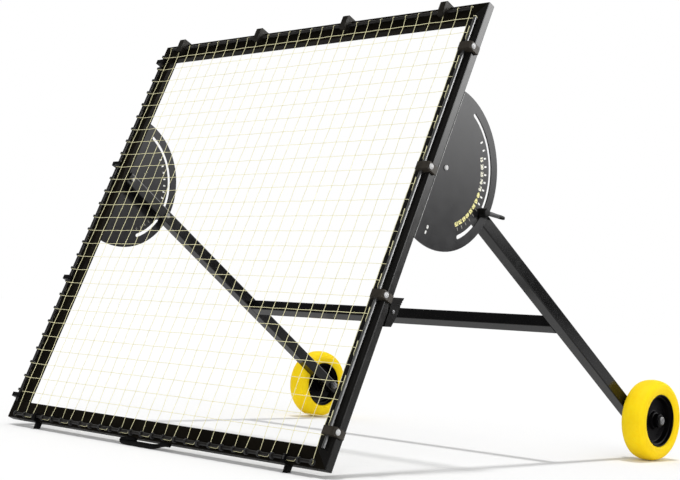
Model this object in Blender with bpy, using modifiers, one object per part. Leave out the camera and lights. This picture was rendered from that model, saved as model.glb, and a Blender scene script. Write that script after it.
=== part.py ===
# Rebounder net: a square tube frame with a stretched net, leaning on a wheeled stand whose angle is set
# against two slotted plates.
import math

import bmesh
import bpy
from mathutils import Matrix, Vector

for obj in list(bpy.data.objects):
    bpy.data.objects.remove(obj, do_unlink=True)

# Clearances: between pieces that touch, and round a shaft in its hole.
GAP = 0.0003
HOLE_GAP = 0.0003

# Frame tubes.
FRAME_W = 1.43
FRAME_L = 1.42
FRAME_LEAN = math.radians(23.6)
TUBE_W = 0.057
TUBE_D = 0.027
TUBE_WALL = 0.002
TUBE_ROUND = 0.003

# Net. The margins are from the frame's outer edges to the first and last strings.
STRING_R = 0.0011
NET_FRONT = 0.008
STRINGS_U = 28
STRINGS_V = 27
MARGIN_SIDE = 0.0481
MARGIN_BOTTOM = 0.088
MARGIN_TOP = 0.0554
KEPT_U = 3
KEPT_V = 2

# Rods that hold the net's edges. Each is set by how far its axis is from the outer edge of its tube.
ROD_R = 0.005
ROD_IN = {"left": 0.024, "right": 0.025, "top": 0.0215, "bottom": 0.0125}
ROD_SHORT = 0.052

# Clamps that hold the rods to the tubes, each counted in net squares from the first string.
CLAMP_AT = {
    "left": (-0.3, 8.37, 17.25, 25.7),
    "right": (0.2, 8.1, 16.0, 23.9),
    "top": (1.15, 9.07, 17.0, 24.9),
    "bottom": (2.3, 25.1),
}
HEAVY_SIDES = ("right", "top")
CLAMP_WIDE = 0.022
CLAMP_IN = 0.039
CLAMP_FRONT = 0.024
CLAMP_LIP = 0.0085
CLAMP_BACK = 0.018
CLAMP_CHAMFER = 0.0045
CLAMP_STRING_GAP = 0.0006

# Light clips that do the same on the other two sides.
CLIP_WIDE = 0.014
CLIP_PAST_ROD = 0.004
CLIP_FRONT = 0.0155
CLIP_LIP = 0.004
CLIP_BACK = 0.012
CLIP_CHAMFER = 0.002

# Bolts of the clamps on the right.
CLAMP_BOLT_R = 0.003
CLAMP_BOLT_T = -0.011
CLAMP_BOLT_HEAD = 0.0082
CLAMP_BOLT_DOME = 0.005
CLAMP_BOLT_IN = 0.014

# Feet under the two bottom clips: how far they reach below the tube and to the back, and their length.
FOOT_REACH = 0.018
FOOT_BACK = 0.020
FOOT_LONG = 0.014

# Slotted plates. Slot angles are from straight down the frame, turning to the back.
PLATE_THICK = 0.004
PLATE_R = 0.2315
SLOT_R = 0.1985
SLOT_HALF = 0.006
SLOT_START = math.radians(43.6)
SLOT_END = math.radians(167.5)
PIVOT_V = 0.9075
PIVOT_BEHIND = 0.027
PIVOT_BOLT_R = 0.004
PIVOT_HEAD_R = 0.007
PIVOT_HEAD = 0.004
PIVOT_NUT = 0.0065
PIVOT_NUT_ACROSS = 0.013
THREAD_PAST = 0.004

# Stop block behind the right tube. The heights are above and below its bolt, and the depths behind the
# tube. Its top, bottom and grooves lie level when the frame leans on its stand.
BLOCK_V = 0.4606
BLOCK_TOP = 0.0365
BLOCK_TOP_DEEP = 0.0368
BLOCK_FLARE = 0.025
BLOCK_WAIST_DEEP = 0.0335
BLOCK_LOW = 0.049
BLOCK_LOW_DEEP = 0.0253
BLOCK_WIDE = 0.034
BLOCK_EAR = 0.003
BLOCK_EAR_OVER = 0.0083
BLOCK_EAR_LOW = 0.030
GROOVES = 3
GROOVE_TOP = 0.0085
GROOVE_STEP = 0.0068
GROOVE_TALL = 0.0026
GROOVE_DEEP = 0.0016
GROOVE_AT = 0.004
BLOCK_BOLT_R = 0.003
BLOCK_BOLT_HEAD = 0.0058
BLOCK_BOLT_BEHIND = 0.0133

# Grab handle under the bottom tube, across the frame from its middle line.
PAD_LEFT = -0.072
PAD_RIGHT = 0.081
HANDLE_END = -0.122
HANDLE_RISE = 0.038
HANDLE_DROP = 0.0173
HANDLE_R = 0.0055
HANDLE_T = 0.005
PAD_LONG = 0.040
PAD_DEEP = 0.016
PAD_THICK = 0.0084

# Stand.
LEG_SIDE = 0.040
LEG_WALL = 0.002
LEG_GAP = 0.0006
LEG_REACH = 1.273
LEG_PAST_PIVOT = 0.012
LEG_PAST_AXLE = 0.026
CAP_THICK = 0.002
CAP_BOLT_GAP = 0.001
CROSSBAR_AT = 0.7485

# Clamp studs and their lever nuts.
STUD_R = 0.005
STUD_HEAD_R = 0.010
STUD_HEAD = 0.006
LEVER_HUB_R = 0.0135
LEVER_HUB = 0.024
LEVER_BORE = 0.014
LEVER_REACH = 0.087
LEVER_TIP = 0.0055
LEVER_ROOT = 0.0070
LEVER_THICK = 0.008
LEVER_INSET = 0.0023
LEVER_TURN = math.radians(27.7)

# Wheels.
WHEEL_R = 0.130
TYRE_HALF = 0.041
TYRE_CLEAR = 0.0033
RIM_HALF = 0.034
RIM_LIP_R = 0.0835
RIM_SEAT_R = 0.078
RIM_DISH_R = 0.070
RIM_WEB_HALF = 0.009
HUB_R = 0.021
SEAT_GAP = 0.0005
AXLE_R = 0.008
AXLE_HEAD_R = 0.0135
AXLE_HEAD = 0.008
AXLE_SPACER_R = 0.0145
AXLE_NUT = 0.012
AXLE_NUT_ACROSS = 0.024
WHEEL_STEPS = 32

HALF_W = FRAME_W / 2
NET_T = -NET_FRONT
PITCH_U = (FRAME_W - 2 * MARGIN_SIDE) / (STRINGS_U - 1)
PITCH_V = (FRAME_L - MARGIN_BOTTOM - MARGIN_TOP) / (STRINGS_V - 1)
FRAME_LIFT = FOOT_REACH * math.cos(FRAME_LEAN) + FOOT_BACK * math.sin(FRAME_LEAN)
PLATE_BACK = TUBE_D + GAP
PIVOT_T = TUBE_D + PIVOT_BEHIND
PIVOT_OUT = PIVOT_V * math.sin(FRAME_LEAN) + PIVOT_T * math.cos(FRAME_LEAN)
PIVOT_Z = FRAME_LIFT + PIVOT_V * math.cos(FRAME_LEAN) - PIVOT_T * math.sin(FRAME_LEAN)
LEG_X = HALF_W - PLATE_THICK - LEG_GAP - LEG_SIDE / 2
LEG_IN = LEG_X - LEG_SIDE / 2
LEG_OUT = LEG_X + LEG_SIDE / 2
LEG_DROP = math.asin((PIVOT_Z - WHEEL_R) / LEG_REACH)
WHEEL_X = LEG_OUT + TYRE_CLEAR + TYRE_HALF
SIDES = {1: "right", -1: "left"}

# The origin is on the floor, midway between the bottom clips' front and the tyres' back.
FRONT_OUT = CLIP_FRONT * math.cos(FRAME_LEAN) + (CLIP_LIP - CLIP_CHAMFER) * math.sin(FRAME_LEAN)
BACK_OUT = PIVOT_OUT + LEG_REACH * math.cos(LEG_DROP) + WHEEL_R
FRAME_Y = (FRONT_OUT - BACK_OUT) / 2
PIVOT_Y = FRAME_Y + PIVOT_OUT

body = bpy.data.collections.new("rebounder_net")
cutters = bpy.data.collections.new("cutters")
cutters.hide_render = True
bpy.context.scene.collection.children.link(body)
bpy.context.scene.collection.children.link(cutters)


def material(name, colour, roughness, metallic=0.0):
    made = bpy.data.materials.new(name)
    made.use_nodes = True
    shader = made.node_tree.nodes["Principled BSDF"]
    shader.inputs["Base Color"].default_value = (*colour, 1.0)
    shader.inputs["Roughness"].default_value = roughness
    shader.inputs["Metallic"].default_value = metallic
    return made


BLACK_PAINT = material("black_paint", (0.012, 0.012, 0.013), 0.38)
BLACK_PLASTIC = material("black_plastic", (0.016, 0.016, 0.017), 0.55)
BRIGHT_STEEL = material("bright_steel", (0.62, 0.62, 0.63), 0.28, 1.0)
YELLOW_TYRE = material("yellow_tyre", (0.93, 0.62, 0.015), 0.6)
GREY_LEVER = material("grey_lever", (0.22, 0.22, 0.23), 0.45)
NET_CORD = material("net_cord", (0.86, 0.80, 0.52), 0.8)
RUBBER = material("black_rubber", (0.010, 0.010, 0.010), 0.8)


def axis_empty(name, location, tilt):
    empty = bpy.data.objects.new(name, None)
    empty.location = location
    empty.rotation_euler = (tilt, 0.0, 0.0)
    body.objects.link(empty)
    return empty


def place(obj, parent, matrix):
    obj.parent = parent
    obj.location = matrix.to_translation()
    obj.rotation_euler = matrix.to_euler()


def add_part(name, mesh, look, parent, matrix, smooth=False):
    part = bpy.data.objects.new(name, mesh)
    place(part, parent, matrix)
    mesh.materials.append(look)
    if smooth:
        mesh.shade_smooth()
        mesh.set_sharp_from_angle(angle=math.radians(40))
    body.objects.link(part)
    return part


def add_cutter(name, mesh, parent, matrix):
    cutter = bpy.data.objects.new(name, mesh)
    place(cutter, parent, matrix)
    cutter.hide_render = True
    cutter.display_type = "WIRE"
    cutters.objects.link(cutter)
    return cutter


def combine(target, operation, name, mesh, matrix):
    """Cuts a hidden shape out of a part, or joins it on."""
    modifier = target.modifiers.new(operation.lower(), "BOOLEAN")
    modifier.operation = operation
    modifier.solver = "EXACT"
    modifier.object = add_cutter(name, mesh, target.parent, matrix)


def mesh_of(name, bm):
    bmesh.ops.recalc_face_normals(bm, faces=bm.faces)
    mesh = bpy.data.meshes.new(name)
    bm.to_mesh(mesh)
    bm.free()
    return mesh


def add_rod(bm, start, end, radius, steps):
    start = Vector(start)
    end = Vector(end)
    along = end - start
    turn = along.to_track_quat("Z", "Y").to_matrix().to_4x4()
    here = Matrix.Translation((start + end) / 2) @ turn
    long = along.length
    bmesh.ops.create_cone(
        bm, cap_ends=True, segments=steps, radius1=radius, radius2=radius, depth=long, matrix=here
    )


def rods_mesh(name, rods, steps):
    """Capped round bars, each given as (start, end, radius)."""
    bm = bmesh.new()
    for start, end, radius in rods:
        add_rod(bm, start, end, radius, steps)
    return mesh_of(name, bm)


def box_mesh(name, size, centre):
    bm = bmesh.new()
    bmesh.ops.create_cube(bm, size=1.0)
    bmesh.ops.scale(bm, vec=size, verts=bm.verts)
    bmesh.ops.translate(bm, vec=centre, verts=bm.verts)
    return mesh_of(name, bm)


def add_turned(name, profile, steps, look, parent, matrix):
    """A turned piece from a profile of (height, radius) that runs down its outer side, top to bottom. A
    profile that starts off the axis is closed, and leaves a bore."""
    bm = bmesh.new()
    points = [bm.verts.new((radius, 0.0, height)) for height, radius in profile]
    for first, second in zip(points, points[1:]):
        bm.edges.new((first, second))
    if profile[0][1] > 0.0:
        bm.edges.new((points[-1], points[0]))
    mesh = bpy.data.meshes.new(name)
    bm.to_mesh(mesh)
    bm.free()
    part = add_part(name, mesh, look, parent, matrix)
    screw = part.modifiers.new("turn", "SCREW")
    screw.axis = "Z"
    screw.steps = steps
    screw.render_steps = steps
    screw.use_merge_vertices = True
    screw.merge_threshold = 0.00001
    screw.use_smooth_shade = True
    return part


def circle(centre, radius, steps):
    turns = [2 * math.pi * n / steps for n in range(steps)]
    return [(centre[0] + radius * math.cos(turn), centre[1] + radius * math.sin(turn)) for turn in turns]


def rounded_rect(x0, x1, y0, y1, radius, steps=2):
    points = []
    left, right, low, high = x0 + radius, x1 - radius, y0 + radius, y1 - radius
    for quarter, (cx, cy) in enumerate(((right, high), (left, high), (left, low), (right, low))):
        for step in range(steps + 1):
            angle = math.pi / 2 * (quarter + step / steps)
            points.append((cx + radius * math.cos(angle), cy + radius * math.sin(angle)))
    return points


def curve_mesh(name, curve):
    """The mesh of a curve, with its caps welded on."""
    holder = bpy.data.objects.new(name, curve)
    bpy.context.scene.collection.objects.link(holder)
    graph = bpy.context.evaluated_depsgraph_get()
    raw = bpy.data.meshes.new_from_object(holder.evaluated_get(graph))
    bpy.data.objects.remove(holder, do_unlink=True)
    bpy.data.curves.remove(curve)
    bm = bmesh.new()
    bm.from_mesh(raw)
    bpy.data.meshes.remove(raw)
    bmesh.ops.remove_doubles(bm, verts=bm.verts, dist=0.00001)
    return mesh_of(name, bm)


def slab(name, loops, half_thick):
    """A flat piece from outlines in XY, the inner ones being holes, with its thickness along Z."""
    curve = bpy.data.curves.new(name, "CURVE")
    curve.dimensions = "2D"
    curve.fill_mode = "BOTH"
    curve.extrude = half_thick
    for loop in loops:
        spline = curve.splines.new("POLY")
        spline.points.add(len(loop) - 1)
        for point, (x, y) in zip(spline.points, loop):
            point.co = (x, y, 0.0, 1.0)
        spline.use_cyclic_u = True
    return curve_mesh(name, curve)


def wire(name, path, radius):
    """A round bar along a path, with capped ends."""
    curve = bpy.data.curves.new(name, "CURVE")
    curve.dimensions = "3D"
    curve.bevel_depth = radius
    curve.bevel_resolution = 1
    curve.use_fill_caps = True
    spline = curve.splines.new("POLY")
    spline.points.add(len(path) - 1)
    for point, at in zip(spline.points, path):
        point.co = (*at, 1.0)
    return curve_mesh(name, curve)


def tube_ring(x0, x1, y0, y1, wall):
    outer = rounded_rect(x0, x1, y0, y1, TUBE_ROUND)
    inner = rounded_rect(x0 + wall, x1 - wall, y0 + wall, y1 - wall, TUBE_ROUND - wall)
    return [outer, inner]


def moved(x, y, z):
    return Matrix.Translation((x, y, z))


def side_matrix(side, at):
    """X points outward from the frame's outer edge, Y to the back, and Z along the tube of that side."""
    turn = {"right": 0.0, "left": math.pi, "top": -math.pi / 2, "bottom": math.pi / 2}[side]
    edge = {"right": (HALF_W, at), "left": (-HALF_W, at), "top": (at, FRAME_L), "bottom": (at, 0.0)}[side]
    return moved(edge[0], 0.0, edge[1]) @ Matrix.Rotation(turn, 4, "Y")


def clamp_places(side):
    if side in ("left", "right"):
        return [MARGIN_BOTTOM + squares * PITCH_V for squares in CLAMP_AT[side]]
    return [-HALF_W + MARGIN_SIDE + squares * PITCH_U for squares in CLAMP_AT[side]]


# A flat piece's X goes to the back or down the leg, its Y up, and its thickness across the frame.
ACROSS = Matrix(((0, 0, 1, 0), (1, 0, 0, 0), (0, 1, 0, 0), (0, 0, 0, 1)))


def outboard(sign):
    """Turns a piece's Z axis to point out of the frame on that side."""
    return Matrix.Rotation(sign * math.pi / 2, 4, "Y")


def kept_strings(count, every):
    """Every so many string numbers, with the last one always among them."""
    kept = list(range(0, count - 1, every))
    return [*kept, count - 1]


def on_plate(angle, radius):
    return (PIVOT_T + radius * math.sin(angle), PIVOT_V - radius * math.cos(angle))


def arc(start, end, radius, steps):
    return [on_plate(start + (end - start) * n / steps, radius) for n in range(steps + 1)]


def slot_end(angle, way):
    """The half circle that closes the slot, from its outer side to its inner side when way is 1."""
    cx, cy = on_plate(angle, SLOT_R)
    points = []
    for n in range(1, 6):
        turn = math.pi * n / 6
        out = way * SLOT_HALF * math.cos(turn)
        on = way * SLOT_HALF * math.sin(turn)
        x = cx + out * math.sin(angle) + on * math.cos(angle)
        y = cy - out * math.cos(angle) + on * math.sin(angle)
        points.append((x, y))
    return points


def hex_nut(name, across, bore, thick):
    outline = circle((0.0, 0.0), across / math.sqrt(3), 6)
    return slab(name, [outline, circle((0.0, 0.0), bore, 16)], thick / 2)


frame_axis = axis_empty("frame_axis", (0.0, FRAME_Y, FRAME_LIFT), -FRAME_LEAN)
stand_axis = axis_empty("stand_axis", (0.0, PIVOT_Y, PIVOT_Z), -LEG_DROP)

# Frame tubes, mitred at the corners.
for side in CLAMP_AT:
    upright = side in ("left", "right")
    half = (FRAME_L if upright else FRAME_W) / 2
    mesh = slab(f"frame_tube_{side}", tube_ring(-TUBE_W, 0.0, 0.0, TUBE_D, TUBE_WALL), half)
    for vert in mesh.vertices:
        vert.co.z = math.copysign(half + vert.co.x - GAP, vert.co.z)
    middle = FRAME_L / 2 if upright else 0.0
    add_part(f"frame_tube_{side}", mesh, BLACK_PAINT, frame_axis, side_matrix(side, middle))

# Rods along the net's edges.
for side in CLAMP_AT:
    upright = side in ("left", "right")
    half = (FRAME_L if upright else FRAME_W) / 2 - ROD_SHORT
    low_end = (-ROD_IN[side], NET_T, -half)
    high_end = (-ROD_IN[side], NET_T, half)
    mesh = rods_mesh(f"net_rod_{side}", [(low_end, high_end, ROD_R)], 12)
    middle = FRAME_L / 2 if upright else 0.0
    add_part(f"net_rod_{side}", mesh, BLACK_PAINT, frame_axis, side_matrix(side, middle), smooth=True)

# Net, with every third upright string and every second level one of the real net. Its outline is a comb,
# as the string ends stop at the rods.
net_us = [-HALF_W + MARGIN_SIDE + n * PITCH_U for n in kept_strings(STRINGS_U, KEPT_U)]
net_vs = [MARGIN_BOTTOM + n * PITCH_V for n in kept_strings(STRINGS_V, KEPT_V)]
rod_face = ROD_R + GAP
reach_left = -HALF_W + ROD_IN["left"] + rod_face
reach_right = HALF_W - ROD_IN["right"] - rod_face
reach_bottom = ROD_IN["bottom"] + rod_face
reach_top = FRAME_L - ROD_IN["top"] - rod_face
low_u = net_us[0] - STRING_R
high_u = net_us[-1] + STRING_R
low_v = net_vs[0] - STRING_R
high_v = net_vs[-1] + STRING_R
comb = []
for u in net_us:
    left, right = u - STRING_R, u + STRING_R
    comb += [(left, low_v), (left, reach_bottom), (right, reach_bottom), (right, low_v)]
for v in net_vs:
    low, high = v - STRING_R, v + STRING_R
    comb += [(high_u, low), (reach_right, low), (reach_right, high), (high_u, high)]
for u in reversed(net_us):
    left, right = u - STRING_R, u + STRING_R
    comb += [(right, high_v), (right, reach_top), (left, reach_top), (left, high_v)]
for v in reversed(net_vs):
    low, high = v - STRING_R, v + STRING_R
    comb += [(low_u, high), (reach_left, high), (reach_left, low), (low_u, low)]
comb = [point for n, point in enumerate(comb) if point != comb[n - 1]]
squares = []
for u0, u1 in zip(net_us, net_us[1:]):
    for v0, v1 in zip(net_vs, net_vs[1:]):
        left, right, low, high = u0 + STRING_R, u1 - STRING_R, v0 + STRING_R, v1 - STRING_R
        squares.append([(left, low), (right, low), (right, high), (left, high)])
UPRIGHT = Matrix.Rotation(math.pi / 2, 4, "X")
net_place = moved(0.0, NET_T, 0.0) @ UPRIGHT
add_part("net", slab("net", [comb, *squares], STRING_R), NET_CORD, frame_axis, net_place)

# Rod clamps: a block in front of the tube, a lip over its outer side, and a slit that lets the strings out.
hole_r = ROD_R + HOLE_GAP
slit = STRING_R + CLAMP_STRING_GAP
mouth = math.asin(slit / hole_r)
for side in CLAMP_AT:
    heavy = side in HEAVY_SIDES
    wide = CLAMP_WIDE if heavy else CLIP_WIDE
    inner = -CLAMP_IN if heavy else -ROD_IN[side] - hole_r - CLIP_PAST_ROD
    front = -CLAMP_FRONT if heavy else -CLIP_FRONT
    outer = CLAMP_LIP if heavy else CLIP_LIP
    back = CLAMP_BACK if heavy else CLIP_BACK
    chamfer = CLAMP_CHAMFER if heavy else CLIP_CHAMFER
    lip = [(GAP, back), (outer, back)]
    if side == "bottom":
        lean = math.tan(FRAME_LEAN)
        foot_front = FOOT_BACK - FOOT_LONG
        lip = [(GAP, FOOT_BACK), (FOOT_REACH, FOOT_BACK), (FOOT_REACH + FOOT_LONG * lean, foot_front)]
        lip.append((outer, foot_front - outer / 2))
    hole = []
    for n in range(13):
        turn = math.pi + mouth + (2 * math.pi - 2 * mouth) * n / 12
        hole.append((-ROD_IN[side] + hole_r * math.cos(turn), NET_T + hole_r * math.sin(turn)))
    outline = [
        *lip,
        (outer, front + chamfer),
        (outer - chamfer, front),
        (inner + chamfer, front),
        (inner, front + chamfer),
        (inner, NET_T - slit),
        *hole,
        (inner, NET_T + slit),
        (inner, -GAP),
        (GAP, -GAP),
    ]
    for n, at in enumerate(clamp_places(side), 1):
        name = f"rod_clamp_{side}_{n}"
        here = side_matrix(side, at)
        clamp = add_part(name, slab(name, [outline], wide / 2), BLACK_PLASTIC, frame_axis, here)
        if side != "right":
            continue
        bore_end = (-CLAMP_BOLT_IN - GAP, CLAMP_BOLT_T, 0.0)
        bore = (bore_end, (2 * CLAMP_LIP, CLAMP_BOLT_T, 0.0), CLAMP_BOLT_R + HOLE_GAP)
        combine(clamp, "DIFFERENCE", f"bore_{name}", rods_mesh(f"bore_{name}", [bore], 12), here)
        seat = CLAMP_LIP + GAP
        bolt_profile = [
            (seat + CLAMP_BOLT_DOME, 0.0),
            (seat + CLAMP_BOLT_DOME * 0.8, CLAMP_BOLT_HEAD * 0.7),
            (seat + CLAMP_BOLT_DOME * 0.4, CLAMP_BOLT_HEAD),
            (seat, CLAMP_BOLT_HEAD),
            (seat, CLAMP_BOLT_R),
            (-CLAMP_BOLT_IN, CLAMP_BOLT_R),
            (-CLAMP_BOLT_IN, 0.0),
        ]
        bolt_place = here @ moved(0.0, CLAMP_BOLT_T, 0.0) @ outboard(1)
        add_turned(f"clamp_bolt_{side}_{n}", bolt_profile, 10, BRIGHT_STEEL, frame_axis, bolt_place)

# Slotted plates behind the upright tubes.
chord_angle = math.pi / 2 + math.asin((PIVOT_T - PLATE_BACK) / PLATE_R)
plate_outline = arc(math.pi / 2 - chord_angle, math.pi / 2 + chord_angle, PLATE_R, 48)
slot = arc(SLOT_START, SLOT_END, SLOT_R + SLOT_HALF, 26) + slot_end(SLOT_END, 1)
slot += arc(SLOT_END, SLOT_START, SLOT_R - SLOT_HALF, 26) + slot_end(SLOT_START, -1)
pivot_hole = circle((PIVOT_T, PIVOT_V), PIVOT_BOLT_R + HOLE_GAP, 16)
for sign, side in SIDES.items():
    mesh = slab(f"angle_plate_{side}", [plate_outline, slot, pivot_hole], PLATE_THICK / 2)
    here = moved(sign * (HALF_W - PLATE_THICK / 2), 0.0, 0.0) @ ACROSS
    add_part(f"angle_plate_{side}", mesh, BLACK_PAINT, frame_axis, here)

# Stop block, with grooves across its outer face, an ear over the tube's side, and a bolt.
def level(behind, height):
    """A point that deep behind the tube, at that height above the bolt, on a line that lies level."""
    return (PLATE_BACK + behind, BLOCK_V + height + behind * math.tan(FRAME_LEAN))


block_outline = [
    level(0.0, -BLOCK_LOW),
    level(BLOCK_LOW_DEEP, -BLOCK_LOW),
    level(BLOCK_WAIST_DEEP, BLOCK_TOP - 2 * BLOCK_FLARE),
    level(BLOCK_WAIST_DEEP, BLOCK_TOP - BLOCK_FLARE),
    level(BLOCK_TOP_DEEP, BLOCK_TOP),
    level(0.0, BLOCK_TOP),
]
block_bolt_at = (TUBE_D + BLOCK_BOLT_BEHIND, BLOCK_V)
block_face = HALF_W + BLOCK_EAR
ear_half = (BLOCK_EAR - GAP) / 2
ear_root = BLOCK_BOLT_BEHIND / 3
ear_outline = [
    level(ear_root, -BLOCK_EAR_LOW),
    level(ear_root, BLOCK_TOP),
    level(-BLOCK_EAR_OVER, BLOCK_TOP),
]
grooves = []
for n in range(GROOVES):
    high = BLOCK_TOP - GROOVE_TOP - n * GROOVE_STEP
    low = high - GROOVE_TALL
    past = BLOCK_TOP_DEEP + BLOCK_EAR
    grooves.append([level(GROOVE_AT, low), level(past, low), level(past, high), level(GROOVE_AT, high)])
bolt_hole = circle(block_bolt_at, BLOCK_BOLT_R + HOLE_GAP, 12)
mesh = slab("stop_block", [block_outline, bolt_hole], BLOCK_WIDE / 2)
here = moved(block_face - BLOCK_WIDE / 2, 0.0, 0.0) @ ACROSS
block = add_part("stop_block", mesh, BLACK_PLASTIC, frame_axis, here)
here = moved(block_face - ear_half, 0.0, 0.0) @ ACROSS
combine(block, "UNION", "block_ear", slab("block_ear", [ear_outline], ear_half), here)
here = moved(block_face, 0.0, 0.0) @ ACROSS
combine(block, "DIFFERENCE", "block_grooves", slab("block_grooves", grooves, GROOVE_DEEP), here)
seat = block_face + GAP
bolt_profile = [
    (seat + BLOCK_BOLT_R, 0.0),
    (seat + BLOCK_BOLT_R, BLOCK_BOLT_HEAD * 0.6),
    (seat + BLOCK_BOLT_R * 0.6, BLOCK_BOLT_HEAD),
    (seat, BLOCK_BOLT_HEAD),
    (seat, BLOCK_BOLT_R),
    (seat - BLOCK_WIDE - THREAD_PAST, BLOCK_BOLT_R),
    (seat - BLOCK_WIDE - THREAD_PAST, 0.0),
]
here = moved(0.0, *block_bolt_at) @ outboard(1)
add_turned("block_bolt", bolt_profile, 10, BRIGHT_STEEL, frame_axis, here)

# Grab handle: a bow of round bar that turns back onto one pad under the bottom tube and rises to the other.
bow_end = HANDLE_END + HANDLE_R
top_z = -GAP - HANDLE_R
mid_z = (top_z - HANDLE_DROP) / 2
turn_in = HANDLE_R * 1.4
bow = [
    (PAD_LEFT, top_z),
    (bow_end + turn_in, (top_z + mid_z) / 2),
    (bow_end, mid_z),
    (bow_end + turn_in, (mid_z - HANDLE_DROP) / 2),
    (PAD_LEFT, -HANDLE_DROP),
    (HANDLE_RISE, -HANDLE_DROP),
    (PAD_RIGHT, top_z),
]
mesh = wire("grab_handle", [(x, HANDLE_T, z) for x, z in bow], HANDLE_R)
handle = add_part("grab_handle", mesh, RUBBER, frame_axis, moved(0.0, 0.0, 0.0), smooth=True)
for pad_at, side in ((PAD_LEFT, "left"), (PAD_RIGHT, "right")):
    outline = rounded_rect(-PAD_LONG / 2, PAD_LONG / 2, -PAD_DEEP / 2, PAD_DEEP / 2, PAD_DEEP / 4)
    here = moved(pad_at, HANDLE_T, -GAP - PAD_THICK / 2)
    name = f"handle_pad_{side}"
    combine(handle, "UNION", name, slab(name, [outline], PAD_THICK / 2), here)

# Stand legs, with holes for the pivot bolt, the clamp stud and the axle, and a plug in the top end.
DOWN_LEG = Matrix.Rotation(-math.pi / 2, 4, "X")
leg_ring = tube_ring(-LEG_SIDE / 2, LEG_SIDE / 2, -LEG_SIDE / 2, LEG_SIDE / 2, LEG_WALL)
leg_half = (LEG_REACH + LEG_PAST_PIVOT + LEG_PAST_AXLE) / 2
leg_middle = leg_half - LEG_PAST_PIVOT
leg_holes = ((0.0, PIVOT_BOLT_R), (SLOT_R, STUD_R), (LEG_REACH, AXLE_R))
stem_side = LEG_SIDE - 2 * (LEG_WALL + GAP)
stem_long = LEG_PAST_PIVOT - PIVOT_BOLT_R - CAP_BOLT_GAP + GAP
for sign, side in SIDES.items():
    here = moved(sign * LEG_X, leg_middle, 0.0) @ DOWN_LEG
    leg = add_part(f"leg_{side}", slab(f"leg_{side}", leg_ring, leg_half), BLACK_PAINT, stand_axis, here)
    bores = [((-LEG_SIDE, at, 0.0), (LEG_SIDE, at, 0.0), radius + HOLE_GAP) for at, radius in leg_holes]
    here = moved(sign * LEG_X, 0.0, 0.0)
    combine(leg, "DIFFERENCE", f"leg_holes_{side}", rods_mesh(f"leg_holes_{side}", bores, 16), here)
    here = moved(sign * LEG_X, -LEG_PAST_PIVOT - GAP, 0.0)
    mesh = box_mesh(f"leg_cap_{side}", (LEG_SIDE, CAP_THICK, LEG_SIDE), (0.0, -CAP_THICK / 2, 0.0))
    cap = add_part(f"leg_cap_{side}", mesh, BLACK_PLASTIC, stand_axis, here)
    size = (stem_side, stem_long + CAP_THICK / 2, stem_side)
    stem = box_mesh(f"cap_stem_{side}", size, (0.0, stem_long / 2 - CAP_THICK / 4, 0.0))
    combine(cap, "UNION", f"cap_stem_{side}", stem, here)

bar_half = LEG_IN - GAP
bar_place = moved(0.0, CROSSBAR_AT, 0.0) @ Matrix.Rotation(math.pi / 2, 4, "Y")
add_part("crossbar", slab("crossbar", leg_ring, bar_half), BLACK_PAINT, stand_axis, bar_place)

# Pivot bolts, axle bolts with a spacer collar, and their nuts on the inner faces of the legs.
hub_in = WHEEL_X - RIM_HALF
hub_out = WHEEL_X + RIM_HALF
pivot_profile = [
    (HALF_W + GAP + PIVOT_HEAD, 0.0),
    (HALF_W + GAP + PIVOT_HEAD, PIVOT_HEAD_R * 0.8),
    (HALF_W + GAP + PIVOT_HEAD * 0.8, PIVOT_HEAD_R),
    (HALF_W + GAP, PIVOT_HEAD_R),
    (HALF_W + GAP, PIVOT_BOLT_R),
    (LEG_IN - PIVOT_NUT - THREAD_PAST, PIVOT_BOLT_R),
    (LEG_IN - PIVOT_NUT - THREAD_PAST, 0.0),
]
axle_profile = [
    (hub_out + GAP + AXLE_HEAD, 0.0),
    (hub_out + GAP + AXLE_HEAD, AXLE_HEAD_R * 0.8),
    (hub_out + GAP + AXLE_HEAD * 0.8, AXLE_HEAD_R),
    (hub_out + GAP, AXLE_HEAD_R),
    (hub_out + GAP, AXLE_R),
    (hub_in - GAP, AXLE_R),
    (hub_in - GAP, AXLE_SPACER_R),
    (LEG_OUT + GAP, AXLE_SPACER_R),
    (LEG_OUT + GAP, AXLE_R),
    (LEG_IN - AXLE_NUT - THREAD_PAST, AXLE_R),
    (LEG_IN - AXLE_NUT - THREAD_PAST, 0.0),
]
for sign, side in SIDES.items():
    add_turned(f"pivot_bolt_{side}", pivot_profile, 16, BRIGHT_STEEL, stand_axis, outboard(sign))
    mesh = hex_nut(f"pivot_nut_{side}", PIVOT_NUT_ACROSS, PIVOT_BOLT_R + HOLE_GAP, PIVOT_NUT)
    here = moved(sign * (LEG_IN - GAP - PIVOT_NUT / 2), 0.0, 0.0) @ ACROSS
    add_part(f"pivot_nut_{side}", mesh, BRIGHT_STEEL, stand_axis, here)
    here = moved(0.0, LEG_REACH, 0.0) @ outboard(sign)
    add_turned(f"axle_bolt_{side}", axle_profile, 16, BRIGHT_STEEL, stand_axis, here)
    mesh = hex_nut(f"axle_nut_{side}", AXLE_NUT_ACROSS, AXLE_R + HOLE_GAP, AXLE_NUT)
    here = moved(sign * (LEG_IN - GAP - AXLE_NUT / 2), LEG_REACH, 0.0) @ ACROSS
    add_part(f"axle_nut_{side}", mesh, BRIGHT_STEEL, stand_axis, here)

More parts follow.
